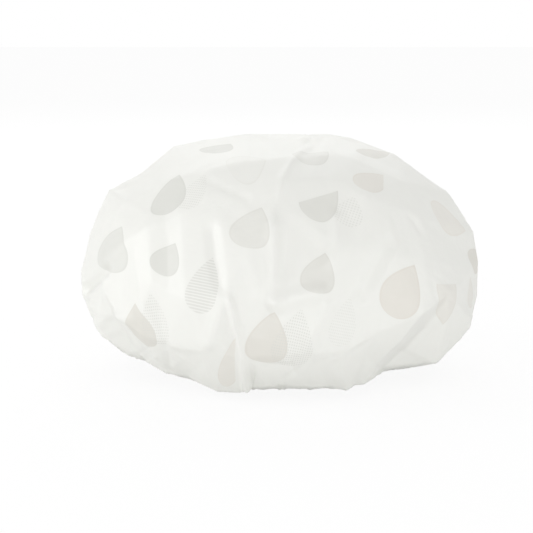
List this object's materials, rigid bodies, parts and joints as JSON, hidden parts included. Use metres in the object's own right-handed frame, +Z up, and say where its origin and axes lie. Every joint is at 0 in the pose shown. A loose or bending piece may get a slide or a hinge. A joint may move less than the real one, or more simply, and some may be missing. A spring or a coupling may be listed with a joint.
{
  "type": "shower cap",
  "caption": "Puffed translucent shower cap: gathered film whose edge is folded over a flat elastic loop and held by a zigzag seam, open below for the head.",
  "frame": {"origin": "on the surface that the cap stands on, under the middle of its overall width and depth", "axes": "+Z up through the crown, +X to the cap's right as seen from its front, front faces -Y"},
  "size_m": [0.2742, 0.2497, 0.1638],
  "materials": {
    "film": "milky translucent film, soft satin",
    "elastic": "white covered flat elastic",
    "thread": "white sewing thread"
  },
  "bodies": {
    "root": {"film_cap": "film", "elastic_band": "elastic", "elastic_tack_thread": "thread", "hem_needle_thread": "thread", "hem_bobbin_thread": "thread"}
  },
  "joints": []
}
